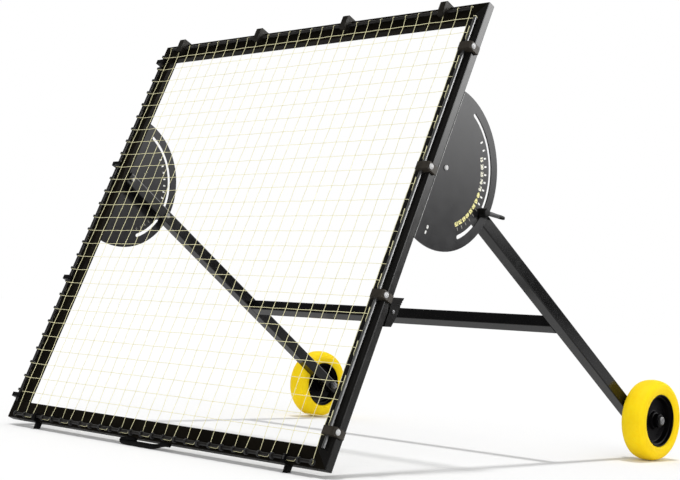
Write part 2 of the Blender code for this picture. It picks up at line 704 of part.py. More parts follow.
# Clamp studs through the legs and slots, each with a lever nut outside its plate.
hub_face = HALF_W + GAP
stud_profile = [
    (hub_face + LEVER_BORE - GAP, 0.0),
    (hub_face + LEVER_BORE - GAP, STUD_R),
    (LEG_IN - GAP, STUD_R),
    (LEG_IN - GAP, STUD_HEAD_R),
    (LEG_IN - GAP - STUD_HEAD * 0.75, STUD_HEAD_R),
    (LEG_IN - GAP - STUD_HEAD, STUD_HEAD_R * 0.8),
    (LEG_IN - GAP - STUD_HEAD, 0.0),
]
lever_profile = [
    (hub_face + LEVER_HUB, 0.0),
    (hub_face + LEVER_HUB, LEVER_HUB_R * 0.8),
    (hub_face + LEVER_HUB * 0.9, LEVER_HUB_R),
    (hub_face, LEVER_HUB_R),
    (hub_face, STUD_R + HOLE_GAP),
    (hub_face + LEVER_BORE, STUD_R + HOLE_GAP),
    (hub_face + LEVER_BORE, 0.0),
]
arm_outline = [
    (-STUD_R, -LEVER_ROOT),
    (LEVER_REACH - LEVER_TIP, -LEVER_TIP),
    (LEVER_REACH, -LEVER_TIP / 2),
    (LEVER_REACH, LEVER_TIP / 2),
    (LEVER_REACH - LEVER_TIP, LEVER_TIP),
    (-STUD_R, LEVER_ROOT),
]
for sign, side in SIDES.items():
    here = moved(0.0, SLOT_R, 0.0) @ outboard(sign)
    add_turned(f"clamp_stud_{side}", stud_profile, 16, BRIGHT_STEEL, stand_axis, here)
    lever = add_turned(f"clamp_lever_{side}", lever_profile, 16, GREY_LEVER, stand_axis, here)
    mesh = slab(f"lever_arm_{side}", [arm_outline], LEVER_THICK / 2)
    arm_x = sign * (hub_face + LEVER_HUB - LEVER_INSET - LEVER_THICK / 2)
    here = moved(arm_x, SLOT_R, 0.0) @ Matrix.Rotation(LEVER_TURN, 4, "X") @ ACROSS
    combine(lever, "UNION", f"lever_arm_{side}", mesh, here)

# Wheels: a moulded rim with a deep dish on each face, and a solid tyre seated on it.
tread_half = 0.4 * TYRE_HALF
wall_r = (RIM_LIP_R + WHEEL_R) / 2
rim_half = [
    (RIM_SEAT_R, 0.6 * RIM_HALF),
    (RIM_LIP_R, 0.82 * RIM_HALF),
    (RIM_LIP_R, RIM_HALF),
    (RIM_LIP_R - 0.2 * (RIM_LIP_R - RIM_DISH_R), RIM_HALF),
    (RIM_DISH_R, RIM_WEB_HALF),
    (HUB_R * 1.3, RIM_WEB_HALF),
    (HUB_R, RIM_HALF),
    (AXLE_R + HOLE_GAP, RIM_HALF),
]
rim_profile = [(-x, r) for r, x in rim_half]
rim_profile = [(x, r) for r, x in reversed(rim_half)] + rim_profile
tyre_half = [
    (RIM_SEAT_R + SEAT_GAP, 0.6 * RIM_HALF - SEAT_GAP),
    (RIM_LIP_R + SEAT_GAP, 0.82 * RIM_HALF - SEAT_GAP),
    (RIM_LIP_R + SEAT_GAP, RIM_HALF),
    (wall_r - 0.3 * (WHEEL_R - wall_r), TYRE_HALF),
    (wall_r + 0.2 * (WHEEL_R - wall_r), TYRE_HALF),
    (wall_r + 0.7 * (WHEEL_R - wall_r), 0.8 * TYRE_HALF),
    (WHEEL_R - 0.05 * (WHEEL_R - wall_r), tread_half),
    (WHEEL_R, 0.12 * TYRE_HALF),
]
tyre_profile = [(x, r) for r, x in tyre_half] + [(-x, r) for r, x in reversed(tyre_half)]
for sign, side in SIDES.items():
    here = moved(sign * WHEEL_X, LEG_REACH, 0.0) @ Matrix.Rotation(LEG_DROP, 4, "X") @ outboard(sign)
    add_turned(f"wheel_rim_{side}", rim_profile, WHEEL_STEPS, BLACK_PLASTIC, stand_axis, here)
    add_turned(f"wheel_tyre_{side}", tyre_profile, WHEEL_STEPS, YELLOW_TYRE, stand_axis, here)
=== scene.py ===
import math

import bmesh
import bpy
from mathutils import Matrix, Vector


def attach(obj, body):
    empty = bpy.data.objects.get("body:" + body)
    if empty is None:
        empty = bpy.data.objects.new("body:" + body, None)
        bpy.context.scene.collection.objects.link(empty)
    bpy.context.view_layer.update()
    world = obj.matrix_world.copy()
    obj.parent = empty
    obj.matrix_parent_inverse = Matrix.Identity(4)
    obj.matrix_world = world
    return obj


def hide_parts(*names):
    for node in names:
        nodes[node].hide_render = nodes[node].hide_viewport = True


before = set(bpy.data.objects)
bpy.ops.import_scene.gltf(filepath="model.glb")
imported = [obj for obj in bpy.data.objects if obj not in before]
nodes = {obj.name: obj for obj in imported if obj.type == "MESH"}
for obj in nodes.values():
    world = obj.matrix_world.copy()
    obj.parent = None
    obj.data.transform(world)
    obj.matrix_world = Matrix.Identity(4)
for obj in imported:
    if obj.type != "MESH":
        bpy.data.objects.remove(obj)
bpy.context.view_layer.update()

# The frame's own axes: u across, v up the frame from the bottom tube's lower edge, t to the back.
LEAN = math.radians(23.6)
FRAME_AT = Vector((0.0, -0.7940476, 0.0245015))
FRAME_MATRIX = Matrix.Translation(FRAME_AT) @ Matrix.Rotation(-LEAN, 4, "X")
FRAME_W = 1.43
FRAME_L = 1.42
HALF_W = FRAME_W / 2
TUBE_D = 0.027

# Camera, solved together with the sizes.
LENS = 74.496
LENS_SHIFT = (0.05946, 0.01384)
CAMERA_AT = Vector((3.16941, -3.376435, 0.42756))
CAMERA_FORWARD = Vector((-0.70765511, 0.70534252, 0.0414269))
CAMERA_UP = Vector((-0.01069487, -0.06931831, 0.99753726))

# Net and rods, as in the part's source, but for the thinner strings.
STRING_R = 0.00075
NET_T = -0.008
STRINGS_U = 28
STRINGS_V = 27
MARGIN_SIDE = 0.0481
MARGIN_BOTTOM = 0.088
MARGIN_TOP = 0.0554
PITCH_U = (FRAME_W - 2 * MARGIN_SIDE) / (STRINGS_U - 1)
PITCH_V = (FRAME_L - MARGIN_BOTTOM - MARGIN_TOP) / (STRINGS_V - 1)
ROD_R = 0.005
ROD_IN = {"left": 0.024, "right": 0.025, "top": 0.0215, "bottom": 0.0125}

# How the strings weave, and a small turn of cord at each crossing.
WEAVE_STEPS = 4
KNOT_R = 2.1 * STRING_R
KNOT_FLAT = 0.8
KNOT_CORD_R = 0.55 * STRING_R
KNOT_STEPS = 8

# How the strings turn round the rods.
# The right loop's rows are (degrees from outward, radius, reach along the rod).
WRAP_R = ROD_R + STRING_R + 0.0002
ARC_IN = 0.011
RIGHT_LOOP = (
    (190, 0.0115, 0.0),
    (178, 0.0100, -0.007),
    (165, 0.0090, -0.014),
    (145, 0.0076, -0.017),
    (128, 0.0070, -0.012),
    (125, 0.0068, -0.003),
    (127, 0.0068, 0.008),
    (142, 0.0070, 0.016),
    (165, 0.0074, 0.021),
    (200, 0.0070, 0.027),
    (222, 0.0068, 0.035),
    (222, 0.0068, 0.043),
)
RIGHT_LOOP_END = (205, 0.0075)
OVER_TURNS = (145.0, 100.0, 50.0, 0.0)
HITCH_TURNS = range(215, 576, 60)
HITCH_PITCH = 0.0025

# Black ties: their cord, where the first one sits beside its string, and the slack round the rod.
TIE_R = 0.0017
TIE_AT = 0.0023
TIE_SLACK = 0.0011
TIE_STEPS = 14

# Plates and their scale.
PIVOT_V = 0.9075
PIVOT_T = 0.054
PLATE_THICK = 0.004
PLATE_HALF = 0.2295
HIGHLIGHT_STRIP_R = 0.0011
HIGHLIGHT_STRIP_STEPS = 120
TICK_R = 0.1765
TICK_LONG = 0.0095
TICK_WIDE = 0.0050
LOW_TICK_WIDE = 0.0026
NUMBER_R = 0.1610
NUMBER_HIGH = 0.0108
NUMBER_BOLD = 0.00085
ZERO_TICK = (2.1, 0.1968)
ZERO_NUMBER = (2.5, 0.1800)
ZERO_HIGH = 0.0095
PRINT_LIFT = 0.00002
PRINT_THICK = 0.00012
NUMBER_LIFT = 0.0001
NUMBER_THICK = 0.00006

# Wheels.
AXLE_Y = 0.679052
AXLE_Z = 0.130
WHEEL_X = 0.7547
WHEEL_R = 0.130
TYRE_HALF = 0.041
RIM_HALF = 0.034
RIM_LIP_R = 0.0835
RIM_SEAT_R = 0.078
RIM_BORE = 0.0083
WHEEL_STEPS = 96

# Levers, each turned a little down from level. The arm's rows are (reach, height, thickness).
STUD_Y = -0.215914
STUD_Z = 0.724631
LEVER_FACE = 0.7153
LEVER_DIP = math.radians(5.9)
LEVER_ARM_X = 0.024 - 0.0023 - 0.004
LEVER_STEPS = 20
HUB_STEPS = 48
HUB_BORE = 0.0055
LEVER_ARM = (
    (0.0, 0.0140, 0.0080),
    (0.018, 0.0136, 0.0080),
    (0.040, 0.0124, 0.0078),
    (0.060, 0.0116, 0.0078),
)
LEVER_TIP = (
    (0.060, 0.0122, 0.0082),
    (0.078, 0.0114, 0.0082),
    (0.0835, 0.0104, 0.0076),
    (0.0862, 0.0078, 0.0058),
    (0.0870, 0.0040, 0.0030),
)

# Handle. The grip's rows are (u, v, radius), and the pads' are (v, how far in from the full outline).
HANDLE_T = 0.005
HANDLE_GRIP = (
    (-0.052, -0.0048, 0.0044),
    (-0.085, -0.0052, 0.0050),
    (-0.106, -0.0064, 0.0058),
    (-0.1155, -0.0104, 0.0064),
    (-0.110, -0.0150, 0.0070),
    (-0.093, -0.0158, 0.0075),
    (-0.060, -0.0158, 0.0077),
    (0.0, -0.0158, 0.0077),
    (0.030, -0.0154, 0.0074),
    (0.050, -0.0124, 0.0066),
    (0.068, -0.0078, 0.0056),
    (0.090, -0.0048, 0.0044),
)
PAD_US = (-0.072, 0.081)
PAD_HALF = (0.020, 0.008)
PAD_RINGS = ((-0.0003, 0.0004), (-0.0010, 0.0), (-0.0072, 0.0), (-0.0084, 0.0006), (-0.0087, 0.0016))
PAD_STEPS = 32
GRIP_STEPS = 20

# Light.
AMBIENT = 0.55
SOFTBOX = 12.0
DARK_STUDIO = 0.10
FLOOR_GREY = 0.90
FLOOR_LIFT = 0.03
FLOOR_HALF = 60.0

scene = bpy.context.scene
scene.view_settings.view_transform = "Standard"


def camera():
    data = bpy.data.cameras.new("camera")
    data.lens = LENS
    data.sensor_width = 36.0
    data.shift_x, data.shift_y = LENS_SHIFT
    data.clip_start = 0.05
    data.clip_end = 200.0
    made = bpy.data.objects.new("camera", data)
    scene.collection.objects.link(made)
    right = CAMERA_FORWARD.cross(CAMERA_UP).normalized()
    up = right.cross(CAMERA_FORWARD).normalized()
    turn = Matrix((right, up, -CAMERA_FORWARD)).transposed()
    made.matrix_world = Matrix.Translation(CAMERA_AT) @ turn.to_4x4()
    scene.camera = made


camera()


# Materials.

# A mix node's sockets when it mixes colours.
MIX_FACTOR, MIX_FIRST, MIX_SECOND, MIX_RESULT = 0, 6, 7, 2

# A cord's plies, and the length of one turn of them.
PLIES = 3.0
TWIST = 0.0065


class Nodes:
    """A material's node tree, with short calls for the nodes that the materials share."""

    def __init__(self, name):
        self.material = bpy.data.materials.new(name)
        self.material.use_nodes = True
        self.tree = self.material.node_tree
        self.shader = self.tree.nodes["Principled BSDF"]
        self.coords = self.tree.nodes.new("ShaderNodeTexCoord")

    def new(self, kind, **settings):
        node = self.tree.nodes.new(kind)
        for key, value in settings.items():
            setattr(node, key, value)
        return node

    def link(self, out, into):
        self.tree.links.new(out, into)

    def noise(self, scale, detail=2.0, roughness=0.5, stretch=None):
        node = self.new("ShaderNodeTexNoise")
        node.inputs["Scale"].default_value = scale
        node.inputs["Detail"].default_value = detail
        node.inputs["Roughness"].default_value = roughness
        source = self.coords.outputs["Object"]
        if stretch:
            mapping = self.new("ShaderNodeMapping")
            mapping.inputs["Scale"].default_value = stretch
            self.link(source, mapping.inputs["Vector"])
            source = mapping.outputs["Vector"]
        self.link(source, node.inputs["Vector"])
        return node.outputs["Fac"]

    def between(self, factor, low, high, from_low=0.3, from_high=0.7):
        node = self.new("ShaderNodeMapRange")
        node.inputs["From Min"].default_value = from_low
        node.inputs["From Max"].default_value = from_high
        node.inputs["To Min"].default_value = low
        node.inputs["To Max"].default_value = high
        self.link(factor, node.inputs["Value"])
        return node.outputs["Result"]

    def mix(self, factor, first, second):
        node = self.new("ShaderNodeMix", data_type="RGBA")
        self.link(factor, node.inputs[MIX_FACTOR])
        for at, value in ((MIX_FIRST, first), (MIX_SECOND, second)):
            if isinstance(value, tuple):
                node.inputs[at].default_value = (*value, 1.0)
            else:
                self.link(value, node.inputs[at])
        return node.outputs[MIX_RESULT]

    def bump(self, height, distance, strength=1.0, under=None):
        node = self.new("ShaderNodeBump")
        node.inputs["Distance"].default_value = distance
        node.inputs["Strength"].default_value = strength
        self.link(height, node.inputs["Height"])
        if under:
            self.link(under, node.inputs["Normal"])
        return node.outputs["Normal"]

    def set(self, **values):
        for key, value in values.items():
            socket = self.shader.inputs[key.replace("_", " ")]
            if hasattr(value, "is_linked"):
                self.link(value, socket)
            else:
                socket.default_value = value


def paint(name, dark, light, rough_low, rough_high, peel, level):
    """Stoved paint: a faint orange peel, uneven gloss and faint patches."""
    made = Nodes(name)
    patches = made.noise(9.0, 4.0, 0.6)
    fine = made.noise(650.0, 2.0)
    colour = made.mix(made.between(patches, 0.0, 1.0), dark, light)
    rough = made.between(made.noise(24.0, 5.0, 0.65), rough_low, rough_high)
    normal = made.bump(fine, peel, 0.6)
    made.set(Base_Color=colour, Roughness=rough, Normal=normal, Specular_IOR_Level=level)
    return made.material


def plastic(name, dark, light, rough_low, rough_high, level, grain_scale=1400.0):
    """Moulded plastic: uneven gloss over a fine grain."""
    made = Nodes(name)
    patches = made.noise(30.0, 3.0)
    fine = made.noise(grain_scale, 3.0, 0.6)
    colour = made.mix(made.between(patches, 0.0, 1.0), dark, light)
    rough = made.between(made.noise(60.0, 4.0), rough_low, rough_high)
    made.set(Base_Color=colour, Roughness=rough, Normal=made.bump(fine, 0.00006, 0.7))
    made.set(Specular_IOR_Level=level)
    return made.material


def steel(name, dark, light, rough_low, rough_high, metallic):
    """Plated steel with fine turning marks and a slightly cloudy plating."""
    made = Nodes(name)
    cloud = made.noise(160.0, 4.0, 0.6)
    fine = made.noise(2600.0, 2.0)
    colour = made.mix(made.between(cloud, 0.0, 1.0), dark, light)
    rough = made.between(cloud, rough_low, rough_high)
    made.set(Base_Color=colour, Roughness=rough, Normal=made.bump(fine, 0.00003, 0.6))
    made.set(Metallic=metallic, Specular_IOR_Level=0.2)
    return made.material


def tyre_rubber(name):
    """Solid foam tyre: yellow with orange patches, and a soft lumpy skin."""
    made = Nodes(name)
    patches = made.noise(16.0, 5.0, 0.6)
    mottle = made.noise(120.0, 4.0, 0.6)
    base = made.mix(made.between(patches, 0.0, 1.0), (0.98, 0.70, 0.003), (0.98, 0.64, 0.002))
    colour = made.mix(made.between(mottle, 0.0, 0.30), base, (0.98, 0.82, 0.035))
    lumps = made.bump(mottle, 0.0010, 0.45)
    skin = made.bump(made.noise(900.0, 2.0), 0.0001, 0.5, lumps)
    made.set(Base_Color=colour, Roughness=made.between(mottle, 0.54, 0.68), Normal=skin)
    made.set(Specular_IOR_Level=0.10)
    return made.material


def cord(name, dark, light, fuzz=0.25):
    """Twisted cord: plies wind round it, read from the thread's own map of turn and length, with
    painted shade in the grooves between the plies.
    """
    made = Nodes(name)
    along = made.new("ShaderNodeUVMap", uv_map="thread")
    split = made.new("ShaderNodeSeparateXYZ")
    made.link(along.outputs["UV"], split.inputs["Vector"])
    phase = made.new("ShaderNodeMath", operation="MULTIPLY_ADD")
    made.link(split.outputs["Y"], phase.inputs[0])
    phase.inputs[1].default_value = 1.0 / TWIST
    made.link(split.outputs["X"], phase.inputs[2])
    turns = made.new("ShaderNodeMath", operation="MULTIPLY")
    made.link(phase.outputs["Value"], turns.inputs[0])
    turns.inputs[1].default_value = PLIES * 2.0 * math.pi
    wave = made.new("ShaderNodeMath", operation="SINE")
    made.link(turns.outputs["Value"], wave.inputs[0])
    ply = made.between(wave.outputs["Value"], 0.0, 1.0, -1.0, 1.0)
    soil = made.noise(40.0, 4.0)
    # Painted shade: the cord is darker in the grooves between its plies, where the bump is low.
    painted_groove_shade = made.mix(ply, dark, light)
    colour = made.mix(made.between(soil, 0.0, 0.25), painted_groove_shade, dark)
    normal = made.bump(ply, 0.0002, 0.8)
    made.set(Base_Color=colour, Roughness=made.between(soil, 0.62, 0.82), Normal=normal)
    made.set(Sheen_Weight=fuzz)
    return made.material


def print_ink(name, colour, faded):
    """Printed marks, worn thin in spots."""
    made = Nodes(name)
    wear = made.noise(420.0, 4.0, 0.7)
    made.set(Base_Color=made.mix(made.between(wear, 0.0, 1.0, 0.35, 0.75), colour, faded))
    made.set(Roughness=made.between(wear, 0.40, 0.60), Normal=made.bump(wear, 0.00003, 0.4))
    return made.material


def grey(value):
    return (value, value, value)


# Painted light: the right tube gets a lighter, glossier copy of the frame paint, so that its side shows
# a sheen from the light on the right.
LIT_SIDE_PAINT = paint(
    "lit_side_paint", (0.0055, 0.0052, 0.0050), (0.0095, 0.0090, 0.0085), 0.15, 0.24, 0.00003, 0.21
)
FRAME_PAINT = paint(
    "frame_paint", (0.0040, 0.0034, 0.0024), (0.0082, 0.0069, 0.0048), 0.20, 0.32, 0.00004, 0.02
)
PLATE_PAINT = paint(
    "plate_paint", (0.0070, 0.0070, 0.0077), (0.0110, 0.0107, 0.0115), 0.17, 0.24, 0.00003, 0.135
)
STAND_PAINT = paint(
    "stand_paint", (0.0025, 0.0025, 0.0027), (0.0050, 0.0049, 0.0050), 0.09, 0.15, 0.00002, 0.20
)
ROD_PAINT = paint("rod_paint", (0.008, 0.0075, 0.007), (0.014, 0.013, 0.012), 0.28, 0.40, 0.00004, 0.2)
# Painted highlight: the right rod gets a lighter, glossier copy of the rod paint, so that it reads as a
# light line.
ROD_HIGHLIGHT_PAINT = paint("rod_highlight_paint", grey(0.020), grey(0.034), 0.26, 0.34, 0.00003, 1.0)
# Painted light: the clamps are one part, but those on the right get a lighter, browner copy of the
# black plastic, on the side the light falls from, and those at the top a copy between that and the
# black of the left and bottom clamps.
LIT_CLAMP_PLASTIC = plastic(
    "clamp_plastic", (0.020, 0.017, 0.013), (0.038, 0.032, 0.025), 0.40, 0.54, 0.14
)
HALF_LIT_TOP_CLAMP = plastic(
    "top_clamp_plastic", (0.008, 0.007, 0.0055), (0.016, 0.014, 0.011), 0.40, 0.54, 0.08
)
BLACK_PLASTIC = plastic(
    "black_plastic_finish", grey(0.0025), (0.006, 0.0058, 0.0056), 0.30, 0.42, 0.04
)
RIM_PLASTIC = plastic(
    "rim_plastic", (0.0008, 0.0007, 0.0010), (0.0022, 0.0019, 0.0024), 0.26, 0.38, 0.02
)
LEVER_PLASTIC = plastic("lever_plastic", (0.050, 0.050, 0.052), (0.078, 0.078, 0.080), 0.34, 0.46, 0.05)
RUBBER = plastic("handle_rubber", grey(0.003), grey(0.007), 0.50, 0.66, 0.05, 700.0)
BOLT_STEEL = steel("bolt_steel", grey(0.44), grey(0.60), 0.48, 0.60, 0.08)
DARK_STEEL = steel("dark_steel", (0.05, 0.05, 0.052), (0.10, 0.10, 0.102), 0.40, 0.54, 0.6)
TYRE_YELLOW = tyre_rubber("tyre_foam")
NET_CORD = cord("net_thread", (0.82, 0.77, 0.42), (0.92, 0.88, 0.56))
TIE_CORD = cord("tie_cord", (0.006, 0.006, 0.006), (0.016, 0.016, 0.015), 0.1)
WHITE_INK = print_ink("scale_white", (0.93, 0.93, 0.90), (0.78, 0.77, 0.74))
FAINT_INK = print_ink("scale_faint", (0.22, 0.21, 0.18), (0.12, 0.115, 0.10))
PALE_INK = print_ink("scale_pale", (0.93, 0.91, 0.76), (0.78, 0.76, 0.62))
YELLOW_INK = print_ink("scale_yellow", (0.92, 0.86, 0.36), (0.80, 0.74, 0.28))
# Painted highlight: the light grey of the thin strip along the tube's back edge beside each plate.
EDGE_HIGHLIGHT_GREY = paint("edge_highlight_grey", (0.24, 0.24, 0.24), (0.40, 0.40, 0.39), 0.40, 0.55, 0.00005, 0.3)


def finish_nodes():
    """Gives every node of the frame its finished material."""
    looks = (
        ("frame_tube_right", LIT_SIDE_PAINT),
        ("frame_tube", FRAME_PAINT),
        ("angle_plate", PLATE_PAINT),
        ("net_rod_right", ROD_HIGHLIGHT_PAINT),
        ("net_rod", ROD_PAINT),
        ("rod_clamp_left", BLACK_PLASTIC),
        ("rod_clamp_bottom", BLACK_PLASTIC),
        ("rod_clamp_top", HALF_LIT_TOP_CLAMP),
        ("rod_clamp", LIT_CLAMP_PLASTIC),
        ("clamp_bolt", BOLT_STEEL),
        ("clamp_stud", DARK_STEEL),
        ("clamp_lever", LEVER_PLASTIC),
        ("stop_block", BLACK_PLASTIC),
        ("block_bolt", DARK_STEEL),
        ("grab_handle", RUBBER),
        ("leg_cap", BLACK_PLASTIC),
        ("leg", STAND_PAINT),
        ("crossbar", STAND_PAINT),
        ("pivot_bolt", BOLT_STEEL),
        ("pivot_nut", DARK_STEEL),
        ("axle", DARK_STEEL),
        ("wheel_rim", RIM_PLASTIC),
        ("wheel_tyre", TYRE_YELLOW),
        ("net", NET_CORD),
    )
    for name, obj in nodes.items():
        look = next(finish for start, finish in looks if name.startswith(start))
        for slot in obj.material_slots:
            slot.material = look


finish_nodes()


# Building helpers.

def add_piece(name, mesh, look, matrix=None, smooth=True):
    made = bpy.data.objects.new(name, mesh)
    made.matrix_world = matrix or Matrix.Identity(4)
    scene.collection.objects.link(made)
    if not mesh.materials:
        mesh.materials.append(look)
    if smooth:
        mesh.shade_smooth()
        mesh.set_sharp_from_angle(angle=math.radians(35))
    bpy.context.view_layer.update()
    return made


def mesh_from(name, bm):
    mesh = bpy.data.meshes.new(name)
    bm.to_mesh(mesh)
    bm.free()
    return mesh


def sweep(bm, uv_layer, path, radius, sides, closed=False):
    """A round tube of one radius or a list of them, with its turn and its length as the thread map."""
    points = [Vector(point) for point in path]
    count = len(points)
    radii = radius if isinstance(radius, list) else [radius] * count
    normal = None
    rings = []
    length = 0.0
    lengths = []
    for n, point in enumerate(points):
        before = points[n - 1] if n or closed else point
        after = points[(n + 1) % count] if n + 1 < count or closed else point
        tangent = (after - before).normalized()
        if normal is None:
            side = Vector((0.0, 1.0, 0.0)) if abs(tangent.y) < 0.9 else Vector((1.0, 0.0, 0.0))
            normal = tangent.cross(side).normalized()
        normal = (normal - tangent * normal.dot(tangent)).normalized()
        other = tangent.cross(normal)
        if n:
            length += (point - points[n - 1]).length
        lengths.append(length)
        ring = []
        for k in range(sides):
            turn = 2 * math.pi * k / sides
            out = normal * math.cos(turn) + other * math.sin(turn)
            ring.append(bm.verts.new(point + out * radii[n]))
        rings.append(ring)
    spans = count if closed else count - 1
    if closed:
        length += (points[0] - points[-1]).length
    for n in range(spans):
        here, there = rings[n], rings[(n + 1) % count]
        start = lengths[n]
        end = lengths[n + 1] if n + 1 < count else length
        for k in range(sides):
            m = (k + 1) % sides
            face = bm.faces.new((here[k], there[k], there[m], here[m]))
            at = ((k, start), (k, end), (k + 1, end), (k + 1, start))
            for loop, (step, reach) in zip(face.loops, at):
                loop[uv_layer].uv = (step / sides, reach)
    if not closed:
        bm.faces.new(rings[0])
        bm.faces.new(list(reversed(rings[-1])))


def tubes(name, jobs, sides=6):
    """One mesh of tubes, each given as (path, radius, closed)."""
    bm = bmesh.new()
    uv_layer = bm.loops.layers.uv.new("thread")
    for path, radius, closed in jobs:
        sweep(bm, uv_layer, path, radius, sides, closed)
    return mesh_from(name, bm)


def smooth_path(points, steps=4):
    """A Catmull-Rom curve through the points."""
    points = [Vector(point) for point in points]
    ends = [2 * points[0] - points[1], *points, 2 * points[-1] - points[-2]]
    made = []
    for n in range(1, len(ends) - 2):
        p0, p1, p2, p3 = ends[n - 1 : n + 3]
        for step in range(steps):
            s = step / steps
            a = 2 * p1
            b = p2 - p0
            c = 2 * p0 - 5 * p1 + 4 * p2 - p3
            d = 3 * p1 - p0 - 3 * p2 + p3
            made.append((a + b * s + c * s * s + d * s * s * s) / 2)
    made.append(points[-1])
    return made


# Net. Each string weaves over and under the ones that cross it.
# At the rods the strings join in pairs.
us = [-HALF_W + MARGIN_SIDE + n * PITCH_U for n in range(STRINGS_U)]
vs = [MARGIN_BOTTOM + n * PITCH_V for n in range(STRINGS_V)]
ACROSS = Vector((1.0, 0.0, 0.0))
UP = Vector((0.0, 0.0, 1.0))
FRONT = Vector((0.0, -1.0, 0.0))


def side_frame(side):
    """The rod's place, the way out of the frame, and the way along the rod, in frame axes."""
    if side == "right":
        return Vector((HALF_W - ROD_IN[side], NET_T, 0.0)), ACROSS, UP
    if side == "left":
        return Vector((-HALF_W + ROD_IN[side], NET_T, 0.0)), -ACROSS, UP
    if side == "top":
        return Vector((0.0, NET_T, FRAME_L - ROD_IN[side])), UP, ACROSS
    return Vector((0.0, NET_T, ROD_IN[side])), -UP, ACROSS


def round_rod(side, turn, along, radius=WRAP_R):
    centre, out, way = side_frame(side)
    angle = math.radians(turn)
    return centre + out * (radius * math.cos(angle)) + FRONT * (radius * math.sin(angle)) + way * along


def turn_back(side, first, second):
    """The cord's way round the rod from the first string to the second, as that side is laced."""
    way = math.copysign(1.0, second - first)
    if side == "right":
        points = []
        for turn, radius, reach in RIGHT_LOOP:
            points.append(round_rod(side, turn, first + way * reach, radius))
        turn, radius = RIGHT_LOOP_END
        points.append(round_rod(side, turn, second, radius))
        return smooth_path(points)
    if side == "bottom":
        points = [round_rod(side, turn, first) for turn in (215.0, 270.0, 320.0)]
        points.append(round_rod(side, 0.0, first + way * 0.3 * ARC_IN))
        points.append(round_rod(side, 8.0, first + way * ARC_IN))
        points.append(round_rod(side, 8.0, (first + second) / 2, WRAP_R + 0.0006))
        points.append(round_rod(side, 8.0, second - way * ARC_IN))
        points.append(round_rod(side, 70.0, second - way * 0.3 * ARC_IN))
        points += [round_rod(side, turn, second) for turn in (110.0, 145.0)]
        return smooth_path(points)
    points = [round_rod(side, turn, first) for turn in OVER_TURNS]
    points.append(round_rod(side, -45.0, first + way * 0.004))
    points.append(round_rod(side, -80.0, first + way * 0.016))
    points.append(round_rod(side, -80.0, second - way * 0.016))
    points.append(round_rod(side, -45.0, second - way * 0.004))
    points += [round_rod(side, turn, second) for turn in reversed(OVER_TURNS)]
    return smooth_path(points)


def hitch(side, at):
    """The end of a string that has no partner: once round the rod."""
    last = len(HITCH_TURNS) - 1
    points = [round_rod(side, turn, at + HITCH_PITCH * n / last) for n, turn in enumerate(HITCH_TURNS)]
    return smooth_path(points)


def string_point(fixed, at, depth, upright):
    return Vector((fixed, depth, at)) if upright else Vector((at, depth, fixed))


def woven_depth(crossing, number, upright):
    """How deep a string lies where it passes over or under another one."""
    way = 1.0 if (crossing + number) % 2 else -1.0
    if upright:
        way = -way
    return NET_T + way * STRING_R


def string_line(fixed, crossings, upright, number):
    """The woven part of one string."""
    made = [(at, woven_depth(n, number, upright)) for n, at in enumerate(crossings)]
    path = []
    for (a, depth_a), (b, depth_b) in zip(made, made[1:]):
        for step in range(WEAVE_STEPS):
            s = step / WEAVE_STEPS
            depth = depth_a + (depth_b - depth_a) * (0.5 - 0.5 * math.cos(math.pi * s))
            path.append(string_point(fixed, a + (b - a) * s, depth, upright))
    path.append(string_point(fixed, *made[-1], upright))
    return path


def strings(upright):
    """All the strings one way, as continuous cords that turn back at the rods."""
    places = us if upright else vs
    crossings = vs if upright else us
    low_side, high_side = ("bottom", "top") if upright else ("left", "right")
    count = len(places)
    high_pairs = [(n, n + 1) for n in range(0, count - 1, 2)]
    low_pairs = [(n, n + 1) for n in range(1, count - 1, 2)]
    jobs = []
    for n, at in enumerate(places):
        jobs.append((string_line(at, crossings, upright, n), STRING_R, False))

    def tail_job(number, edge_number, to):
        """From a string's outermost crossing to the point where its turn round the rod starts."""
        depth = woven_depth(edge_number, number, upright)
        start = string_point(places[number], crossings[edge_number], depth, upright)
        return smooth_path([start, start.lerp(to, 0.5), to]), STRING_R, False

    for side, pairs in ((high_side, high_pairs), (low_side, low_pairs)):
        edge_number = len(crossings) - 1 if side == high_side else 0
        radius = 0.7 * STRING_R if side == "bottom" else STRING_R
        for pair in pairs:
            first, second = reversed(pair) if side == "right" else pair
            path = turn_back(side, places[first], places[second])
            jobs.append(tail_job(first, edge_number, path[0]))
            jobs.append(tail_job(second, edge_number, path[-1]))
            jobs.append((path, radius, False))
        joined = {n for pair in pairs for n in pair}
        for n in set(range(count)) - joined:
            path = hitch(side, places[n])
            jobs.append(tail_job(n, edge_number, path[0]))
            jobs.append((path, STRING_R, False))
    return jobs


def knots():
    """A small turn of cord at every crossing."""
    jobs = []
    for i, u in enumerate(us):
        for j, v in enumerate(vs):
            tilt = math.pi / 4 if (i + j) % 2 else -math.pi / 4
            path = []
            for k in range(KNOT_STEPS):
                turn = 2 * math.pi * k / KNOT_STEPS
                across = KNOT_R * math.cos(turn)
                depth = NET_T + KNOT_R * KNOT_FLAT * math.sin(turn)
                path.append((u + across * math.cos(tilt), depth, v + across * math.sin(tilt)))
            jobs.append((path, KNOT_CORD_R, True))
    return jobs


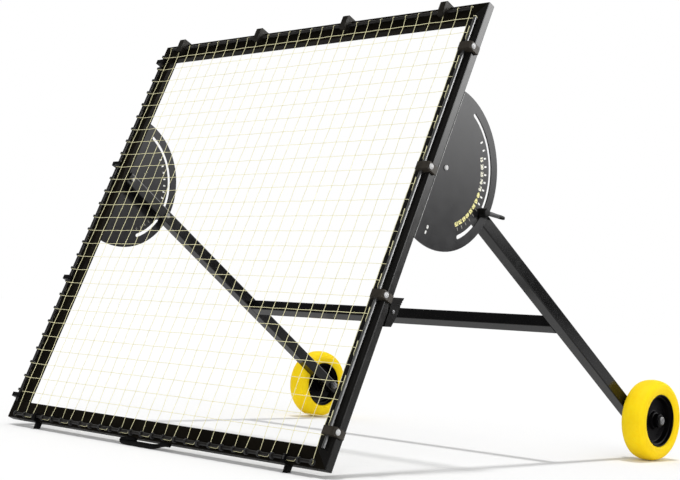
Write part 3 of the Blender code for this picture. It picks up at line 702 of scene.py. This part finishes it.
def tie_rings():
    """Black cord ties that hold the strings to the rods on the left and at the bottom."""
    jobs = []
    for side, places, middle in (("left", vs, 60.0), ("bottom", us, 15.0)):
        centre, out, way_along = side_frame(side)
        shift = out * math.cos(math.radians(middle)) + FRONT * math.sin(math.radians(middle))
        for at in places:
            for row in (TIE_AT, TIE_AT + 2 * TIE_R):
                path = []
                for k in range(TIE_STEPS):
                    turn = 2 * math.pi * k / TIE_STEPS
                    radial = out * math.cos(turn) + FRONT * math.sin(turn)
                    reach = ROD_R + TIE_R + TIE_SLACK + TIE_SLACK * radial.dot(shift)
                    path.append(centre + radial * reach + way_along * (at + row))
                jobs.append((path, TIE_R, True))
    return jobs


def build_net():
    net_jobs = strings(True) + strings(False) + knots()
    net = add_piece("net_strings", tubes("net_strings", net_jobs), NET_CORD, FRAME_MATRIX)
    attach(net, "frame")
    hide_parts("net")
    ties = add_piece("net_ties", tubes("net_ties", tie_rings()), TIE_CORD, FRAME_MATRIX)
    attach(ties, "frame")


build_net()


# Scale on the plates: ticks on both faces, and plain numbers on the outer one.
def tick_angle(k):
    """Where tick number k stands, in degrees. The ticks draw together a little as they go down."""
    return 128.1 - 7.6 * k + 0.055 * k * k


def plate_point(angle, radius, x):
    """A point on a plate, with the angle from straight down the frame towards the back."""
    turn = math.radians(angle)
    return Vector((x, PIVOT_T + radius * math.sin(turn), PIVOT_V - radius * math.cos(turn)))


def plate_bar(bm, angle, radius, wide, face, way):
    """A tick: a flat bar that points along the radius, printed on a plate's face."""
    x = face + way * PRINT_LIFT
    thick = way * PRINT_THICK
    turn = math.radians(angle)
    radial = Vector((0.0, math.sin(turn), -math.cos(turn)))
    across = Vector((0.0, math.cos(turn), math.sin(turn)))
    centre = plate_point(angle, radius, x)
    corners = []
    for a, b in ((-1, -1), (1, -1), (1, 1), (-1, 1)):
        corners.append(centre + radial * (a * TICK_LONG / 2) + across * (b * wide / 2))
    low = [bm.verts.new(corner) for corner in corners]
    high = [bm.verts.new(corner + Vector((thick, 0.0, 0.0))) for corner in corners]
    bm.faces.new(list(reversed(low)))
    bm.faces.new(high)
    for n in range(4):
        m = (n + 1) % 4
        bm.faces.new((low[n], low[m], high[m], high[n]))


def number_mesh(bm, text, angle, radius, sign, high):
    """Plain figures along the radius, on the outer face of the plate on that side."""
    curve = bpy.data.curves.new("figures", "FONT")
    curve.body = text
    curve.size = high * 1.37
    curve.align_x = "CENTER"
    curve.align_y = "CENTER"
    curve.extrude = NUMBER_THICK
    curve.offset = NUMBER_BOLD
    holder = bpy.data.objects.new("figures", curve)
    scene.collection.objects.link(holder)
    graph = bpy.context.evaluated_depsgraph_get()
    graph.update()
    raw = bpy.data.meshes.new_from_object(holder.evaluated_get(graph))
    bpy.data.objects.remove(holder, do_unlink=True)
    bpy.data.curves.remove(curve)
    turn = math.radians(angle)
    radial = Vector((0.0, math.sin(turn), -math.cos(turn)))
    outward = Vector((sign, 0.0, 0.0))
    across = radial.cross(outward)
    place = Matrix.Translation(plate_point(angle, radius, sign * HALF_W + sign * NUMBER_LIFT))
    place = place @ Matrix((across, radial, outward)).transposed().to_4x4()
    raw.transform(place)
    bm.from_mesh(raw)
    bpy.data.meshes.remove(raw)


def add_marks(name, side, bm, ink):
    marks = add_piece(f"scale_{name}_{side}", mesh_from(name, bm), ink, FRAME_MATRIX, smooth=False)
    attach(marks, "frame")


def build_scales():
    for sign, side in ((1, "right"), (-1, "left")):
        outer = sign * HALF_W
        inner = sign * (HALF_W - PLATE_THICK)
        for name, places, wide, ink in (
            ("ticks", range(-2, 7), TICK_WIDE, WHITE_INK),
            ("low_ticks", range(7, 13), LOW_TICK_WIDE, FAINT_INK),
        ):
            bm = bmesh.new()
            for k in places:
                for face, way in ((outer, sign), (inner, -sign)):
                    plate_bar(bm, tick_angle(k), TICK_R, wide, face, way)
            if name == "ticks":
                plate_bar(bm, *ZERO_TICK, TICK_WIDE, outer, sign)
            bmesh.ops.recalc_face_normals(bm, faces=bm.faces)
            if name == "ticks":
                number_mesh(bm, "0", *ZERO_NUMBER, sign, ZERO_HIGH)
            add_marks(name, side, bm, ink)
        for name, places, ink in (
            ("high_numbers", range(5), PALE_INK),
            ("numbers", range(5, 13), YELLOW_INK),
        ):
            bm = bmesh.new()
            for k in places:
                number_mesh(bm, str(15 + 5 * k), tick_angle(k), NUMBER_R, sign, NUMBER_HIGH)
            add_marks(name, side, bm, ink)


build_scales()


def build_edge_highlights():
    """A thin light-grey strip up the front edge of each plate, a little uneven: a painted highlight
    along the tube's back edge where it meets the plate.
    """
    for sign, side in ((1, "right"), (-1, "left")):
        path = []
        for n in range(HIGHLIGHT_STRIP_STEPS + 1):
            ripple = 0.00012 * math.sin(2.4 * n) + 0.00008 * math.sin(0.9 * n)
            v = PIVOT_V - PLATE_HALF + 2 * PLATE_HALF * n / HIGHLIGHT_STRIP_STEPS
            path.append((sign * (HALF_W - 0.0001 + ripple), TUBE_D + 0.0002 + ripple, v))
        mesh = tubes("bead", [(path, HIGHLIGHT_STRIP_R, False)], 8)
        bead = add_piece(f"plate_edge_highlight_{side}", mesh, EDGE_HIGHLIGHT_GREY, FRAME_MATRIX)
        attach(bead, "frame")


build_edge_highlights()


# Wheels, levers and handle, finer than the CAD's.
def outboard(sign):
    """Turns a piece's Z axis to point out of the frame on that side."""
    return Matrix.Rotation(sign * math.pi / 2, 4, "Y")


def turned(bm, profile, steps):
    """A turned solid from a closed profile of (height, radius)."""
    made = []
    for k in range(steps):
        turn = 2 * math.pi * k / steps
        made.append([bm.verts.new((r * math.cos(turn), r * math.sin(turn), h)) for h, r in profile])
    for k in range(steps):
        here, there = made[k], made[(k + 1) % steps]
        for n in range(len(profile)):
            m = (n + 1) % len(profile)
            bm.faces.new((here[n], there[n], there[m], here[m]))
    bmesh.ops.remove_doubles(bm, verts=[vert for ring in made for vert in ring], dist=0.000001)


def rounded(points, radius, steps=3):
    """An open profile with its inner corners rounded off."""
    made = [points[0]]
    for before, corner, after in zip(points, points[1:], points[2:]):
        corner = Vector(corner)
        into = Vector(before) - corner
        out = Vector(after) - corner
        reach = min(radius, into.length * 0.45, out.length * 0.45)
        start = corner + into.normalized() * reach
        end = corner + out.normalized() * reach
        for step in range(steps + 1):
            s = step / steps
            point = start * (1 - s) ** 2 + corner * (2 * s * (1 - s)) + end * s * s
            made.append(tuple(point))
    made.append(points[-1])
    return made


def mirrored(half):
    """A full profile from its half on one side of the wheel's middle."""
    return half + [(-h, r) for h, r in reversed(half)]


def build_wheels():
    """Both tyres and rims, each turned from a profile of (distance from the wheel's middle, radius)."""
    tyre = [
        (0.6 * RIM_HALF - 0.0005, RIM_SEAT_R + 0.0005),
        (0.82 * RIM_HALF - 0.0005, RIM_LIP_R + 0.0005),
        (RIM_HALF, RIM_LIP_R + 0.0005),
        (TYRE_HALF - 0.0012, 0.0935),
        (TYRE_HALF, 0.1040),
        (0.94 * TYRE_HALF, 0.1150),
        (0.76 * TYRE_HALF, 0.1235),
        (0.40 * TYRE_HALF, 0.1288),
        (0.0, WHEEL_R),
    ]
    tyre = rounded(tyre, 0.008, 4)
    rim = [
        (0.0, RIM_SEAT_R),
        (0.6 * RIM_HALF, RIM_SEAT_R),
        (0.82 * RIM_HALF, RIM_LIP_R),
        (RIM_HALF, RIM_LIP_R),
        (RIM_HALF, RIM_LIP_R - 0.0035),
        (0.74 * RIM_HALF, 0.0770),
        (0.70 * RIM_HALF, 0.0735),
        (0.28 * RIM_HALF, 0.0690),
        (0.26 * RIM_HALF, 0.0300),
        (0.52 * RIM_HALF, 0.0262),
        (0.55 * RIM_HALF, 0.0225),
        (RIM_HALF, 0.0210),
        (RIM_HALF, RIM_BORE),
        (0.0, RIM_BORE),
    ]
    rim = rounded(rim, 0.0022)
    for sign, side in ((1, "right"), (-1, "left")):
        place = Matrix.Translation((sign * WHEEL_X, AXLE_Y, AXLE_Z)) @ outboard(sign)
        for name, half, look, slot in (
            ("wheel_tyre", tyre, TYRE_YELLOW, "yellow_tyre"),
            ("wheel_rim", rim, RIM_PLASTIC, "black_plastic"),
        ):
            bm = bmesh.new()
            turned(bm, mirrored(half), WHEEL_STEPS)
            bmesh.ops.recalc_face_normals(bm, faces=bm.faces)
            piece = add_piece(f"fine_{name}_{side}", mesh_from(name, bm), look, place)
            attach(piece, f"wheel_{side}")
            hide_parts(f"{name}_{side}")


build_wheels()


def rounded_section(turns, power, half_a, half_b):
    """Points round a flattened oval: an ellipse at power 1, and squarer as the power falls."""
    points = []
    for turn in turns:
        a, b = math.cos(turn), math.sin(turn)
        across = math.copysign(abs(a) ** power, a) * half_a
        along = math.copysign(abs(b) ** power, b) * half_b
        points.append((across, along))
    return points


def stacked(bm, rings, look=0):
    """A solid from rings of equal count, closed at both ends."""
    made = [[bm.verts.new(point) for point in ring] for ring in rings]
    count = len(made[0])
    for here, there in zip(made, made[1:]):
        for n in range(count):
            m = (n + 1) % count
            bm.faces.new((here[n], here[m], there[m], there[n])).material_index = look
    bm.faces.new(list(reversed(made[0]))).material_index = look
    bm.faces.new(made[-1]).material_index = look


def build_levers():
    hub = [
        (0.0, HUB_BORE),
        (0.0, 0.0128),
        (0.0035, 0.0135),
        (0.0205, 0.0135),
        (0.0240, 0.0112),
        (0.0240, 0.0),
    ]
    hub = rounded(hub, 0.0012) + [(0.0140, 0.0), (0.0140, HUB_BORE)]
    turns = [2 * math.pi * k / LEVER_STEPS for k in range(LEVER_STEPS)]
    for sign, side in ((1, "right"), (-1, "left")):
        bm = bmesh.new()
        turned(bm, hub, HUB_STEPS)
        bmesh.ops.transform(bm, matrix=outboard(sign), verts=bm.verts)
        for stations, look in ((LEVER_ARM, 1), (LEVER_TIP, 0)):
            rings = []
            for at, tall, thick in stations:
                section = rounded_section(turns, 0.55, thick / 2, tall / 2)
                rings.append([(x + sign * LEVER_ARM_X, at, z) for x, z in section])
            stacked(bm, rings, look)
        bmesh.ops.recalc_face_normals(bm, faces=bm.faces)
        mesh = mesh_from("lever", bm)
        mesh.materials.append(BLACK_PLASTIC)
        mesh.materials.append(LEVER_PLASTIC)
        place = Matrix.Translation((sign * LEVER_FACE, STUD_Y, STUD_Z))
        place = place @ Matrix.Rotation(-LEVER_DIP, 4, "X")
        piece = add_piece(f"fine_lever_{side}", mesh, None, place)
        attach(piece, f"lever_{side}")
        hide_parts(f"clamp_lever_{side}")


build_levers()


def build_handle():
    """The grab handle as one moulded grip that swells along its lower strand, with its two pads."""
    path = smooth_path([(u, HANDLE_T, v) for u, v, radius in HANDLE_GRIP], 5)
    radii = [point.x for point in smooth_path([(radius, 0.0, 0.0) for u, v, radius in HANDLE_GRIP], 5)]
    bm = bmesh.new()
    uv_layer = bm.loops.layers.uv.new("thread")
    sweep(bm, uv_layer, path, radii, GRIP_STEPS)
    turns = [2 * math.pi * (k + 0.5) / PAD_STEPS for k in range(PAD_STEPS)]
    for at in PAD_US:
        rings = []
        for v, inset in PAD_RINGS:
            section = rounded_section(turns, 0.35, PAD_HALF[0] - inset, PAD_HALF[1] - inset)
            rings.append([(at + a, HANDLE_T + b, v) for a, b in section])
        stacked(bm, rings)
    bmesh.ops.recalc_face_normals(bm, faces=bm.faces)
    bmesh.ops.transform(bm, matrix=FRAME_MATRIX, verts=bm.verts)
    handle = add_piece("fine_grab_handle", mesh_from("handle", bm), RUBBER)
    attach(handle, "frame")
    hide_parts("grab_handle")


build_handle()


# Stage and light.
def floor_look():
    """Pale matt floor, lifted a little where it is seen, so that it meets the white backdrop."""
    look = Nodes("floor_look")
    look.tree.nodes.remove(look.shader)
    matt = look.new("ShaderNodeBsdfDiffuse")
    matt.inputs["Color"].default_value = (*grey(FLOOR_GREY), 1.0)
    glow = look.new("ShaderNodeEmission")
    glow.inputs["Color"].default_value = (1.0, 1.0, 1.0, 1.0)
    paths = look.new("ShaderNodeLightPath")
    seen = look.new("ShaderNodeMath", operation="MAXIMUM")
    look.link(paths.outputs["Is Camera Ray"], seen.inputs[0])
    look.link(paths.outputs["Is Glossy Ray"], seen.inputs[1])
    either = look.new("ShaderNodeMath", operation="MAXIMUM")
    look.link(seen.outputs["Value"], either.inputs[0])
    look.link(paths.outputs["Is Transmission Ray"], either.inputs[1])
    lift = look.new("ShaderNodeMath", operation="MULTIPLY")
    look.link(either.outputs["Value"], lift.inputs[0])
    lift.inputs[1].default_value = FLOOR_LIFT
    look.link(lift.outputs["Value"], glow.inputs["Strength"])
    both = look.new("ShaderNodeAddShader")
    look.link(matt.outputs["BSDF"], both.inputs[0])
    look.link(glow.outputs["Emission"], both.inputs[1])
    look.link(both.outputs["Shader"], look.tree.nodes["Material Output"].inputs["Surface"])
    return look.material


def build_stage():
    bm = bmesh.new()
    bmesh.ops.create_grid(bm, x_segments=2, y_segments=2, size=FLOOR_HALF)
    floor = add_piece("floor", mesh_from("floor", bm), floor_look(), smooth=False)


def sun(name, strength, softness, at, to):
    """A sun lamp, with its softness as an angle in degrees."""
    data = bpy.data.lights.new(name, "SUN")
    data.energy = strength
    data.angle = math.radians(softness)
    made = bpy.data.objects.new(name, data)
    scene.collection.objects.link(made)
    made.visible_camera = False
    made.location = at
    made.rotation_mode = "QUATERNION"
    made.rotation_quaternion = (Vector(to) - Vector(at)).to_track_quat("-Z", "Y")


def toward(tree, coords, direction, start, end, low, high):
    """A value that rises from low to high as a ray points closer to a direction."""
    aimed = tree.nodes.new("ShaderNodeVectorMath")
    aimed.operation = "DOT_PRODUCT"
    aimed.inputs[1].default_value = direction
    tree.links.new(coords.outputs["Generated"], aimed.inputs[0])
    ramp = tree.nodes.new("ShaderNodeMapRange")
    ramp.interpolation_type = "SMOOTHSTEP"
    for socket, value in (("From Min", start), ("From Max", end), ("To Min", low), ("To Max", high)):
        ramp.inputs[socket].default_value = value
    tree.links.new(aimed.outputs["Value"], ramp.inputs["Value"])
    return ramp.outputs["Result"]


def build_light():
    """Two soft suns, even light all round, and a dim studio, softbox and white sweep to reflect."""
    sun("overhead", 1.45, 5.5, (0.0, 0.0, 6.0), (0.05, 0.05, 0.0))
    sun("fill", 0.8, 40.0, (6.0, -6.0, 3.0), (0.0, 0.0, 0.0))
    world = bpy.data.worlds.new("studio")
    scene.world = world
    world.use_nodes = True
    world.cycles.sampling_method = "NONE"
    tree = world.node_tree
    background = tree.nodes["Background"]
    background.inputs["Color"].default_value = (1.0, 1.0, 1.0, 1.0)
    paths = tree.nodes.new("ShaderNodeLightPath")
    coords = tree.nodes.new("ShaderNodeTexCoord")
    backdrop = toward(tree, coords, (-0.70, 0.70, -0.30), 0.15, 0.60, DARK_STUDIO, 1.0)
    raised = toward(tree, coords, (0.0, 0.0, 1.0), 0.03, 0.21, 0.0, 1.0)
    box = toward(tree, coords, (0.70, 0.62, 0.35), 0.80, 0.90, 0.0, SOFTBOX)
    gloss = tree.nodes.new("ShaderNodeMath")
    gloss.operation = "MULTIPLY_ADD"
    tree.links.new(raised, gloss.inputs[0])
    tree.links.new(box, gloss.inputs[1])
    tree.links.new(backdrop, gloss.inputs[2])
    sharp = tree.nodes.new("ShaderNodeMath")
    sharp.operation = "MAXIMUM"
    tree.links.new(paths.outputs["Is Glossy Ray"], sharp.inputs[0])
    tree.links.new(paths.outputs["Is Transmission Ray"], sharp.inputs[1])
    soft = tree.nodes.new("ShaderNodeMix")
    soft.data_type = "FLOAT"
    tree.links.new(sharp.outputs["Value"], soft.inputs[0])
    soft.inputs[2].default_value = AMBIENT
    tree.links.new(gloss.outputs["Value"], soft.inputs[3])
    final = tree.nodes.new("ShaderNodeMix")
    final.data_type = "FLOAT"
    tree.links.new(paths.outputs["Is Camera Ray"], final.inputs[0])
    tree.links.new(soft.outputs[0], final.inputs[2])
    final.inputs[3].default_value = 1.0
    tree.links.new(final.outputs[0], background.inputs["Strength"])


build_stage()
build_light()
